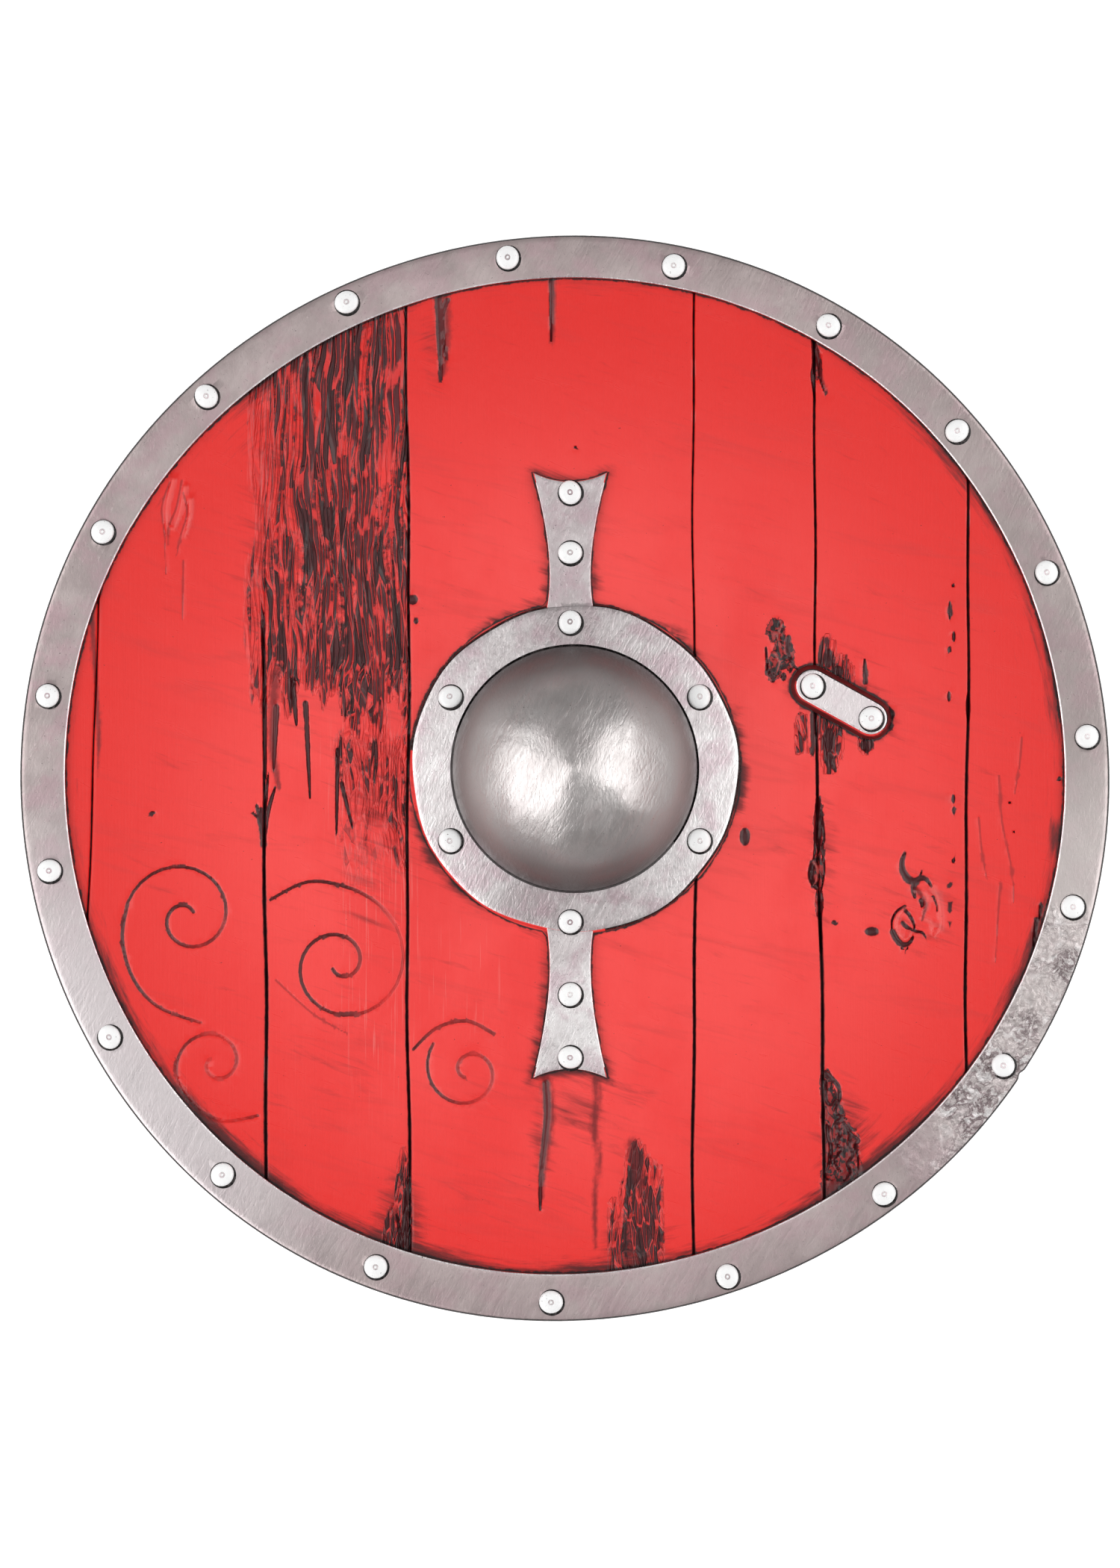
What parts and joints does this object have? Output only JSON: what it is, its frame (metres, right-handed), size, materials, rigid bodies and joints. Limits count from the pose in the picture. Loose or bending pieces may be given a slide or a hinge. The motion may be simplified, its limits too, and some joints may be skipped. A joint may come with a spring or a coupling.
{
  "type": "round shield",
  "caption": "Round costume shield moulded in foam, with plank joints, riveted rim band, domed boss on a strap plate, a patch plate and a hand grip in the hollow behind.",
  "frame": {"origin": "centre of the flat back, on the plane the shield lies on", "axes": "+Z out of the face, up as it lies on its back; +Y along the planks towards the upper fishtail; +X to the right seen from the front, towards the patch plate"},
  "size_m": [0.6104, 0.6082, 0.08],
  "materials": {
    "painted_foam": "self-skinned polyurethane foam, satin red paint on the planks and silver paint on rim, boss, strap, patch and nail heads",
    "grip_wood": "dark stained, satin"
  },
  "bodies": {
    "root": {"moulded_shield": "painted_foam", "hand_grip": "grip_wood"}
  },
  "joints": []
}
